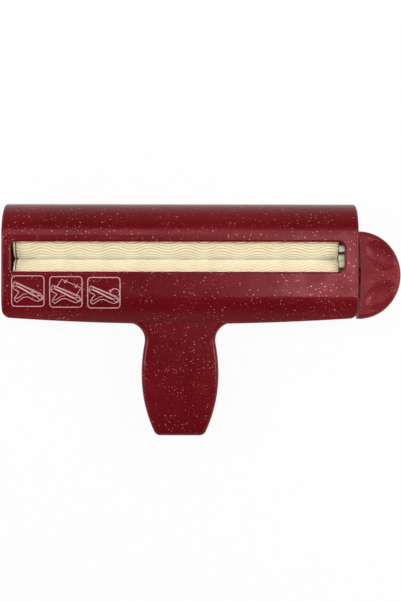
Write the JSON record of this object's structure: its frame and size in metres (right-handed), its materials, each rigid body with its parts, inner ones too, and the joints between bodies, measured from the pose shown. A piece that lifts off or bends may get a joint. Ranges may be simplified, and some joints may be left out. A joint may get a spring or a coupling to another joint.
{
  "type": "hand-cranked paper crimper",
  "caption": "Hand-held paper crimper: hinged, maroon, speckled T-shaped shells with wavy ridged cream rollers, geared together and turned by a D-shaped crank key",
  "frame": {"origin": "centre of the closed crimper's outline, on its flat back", "axes": "+X along the rollers towards the crank key, +Y from the handle towards the rolled upper edge, +Z from the back towards the window"},
  "size_m": [0.277, 0.1624, 0.0375],
  "materials": {
    "moulding": "satin, with fine pink and gold speckles",
    "key": "satin, with fine pink and gold speckles",
    "cream": "satin",
    "bush": "matte",
    "washer": "matte",
    "steel": "turned"
  },
  "bodies": {
    "rear": {"rear_shell": "moulding", "drive_bush_left": "bush", "drive_bush_right": "bush", "pivot_pin_left": "steel", "pivot_pin_right": "steel"},
    "front": {"front_shell": "moulding", "idler_bush_left": "bush", "idler_bush_right": "bush", "idler_plug": "moulding"},
    "drive": {"drive_roller": "cream", "drive_gear": "cream", "drive_axle": "steel", "drive_washer_left": "washer", "drive_washer_right": "washer", "drive_clip": "steel", "crank_key": "key", "key_pin": "steel"},
    "idler": {"idler_roller": "cream", "idler_gear": "cream", "idler_axle": "steel", "idler_washer_left": "washer", "idler_washer_right": "washer", "idler_clip": "steel"}
  },
  "joints": [
    {"name": "handles_spread", "type": "hinge", "parent": "rear", "child": "front", "pos_m": [0, 0.04205, 0.0065], "axis": [-1, 0, 0], "range_deg": [0, 18]},
    {"name": "crank_turn", "type": "hinge", "parent": "rear", "child": "drive", "pos_m": [0, 0.03105, 0.0212], "axis": [1, 0, 0], "continuous": true},
    {"name": "idler_turn", "type": "hinge", "parent": "front", "child": "idler", "pos_m": [0, 0.05305, 0.0212], "axis": [1, 0, 0], "continuous": true}
  ],
  "couplings": [
    {"joint": "idler_turn", "follows": "crank_turn", "ratio": -1}
  ]
}
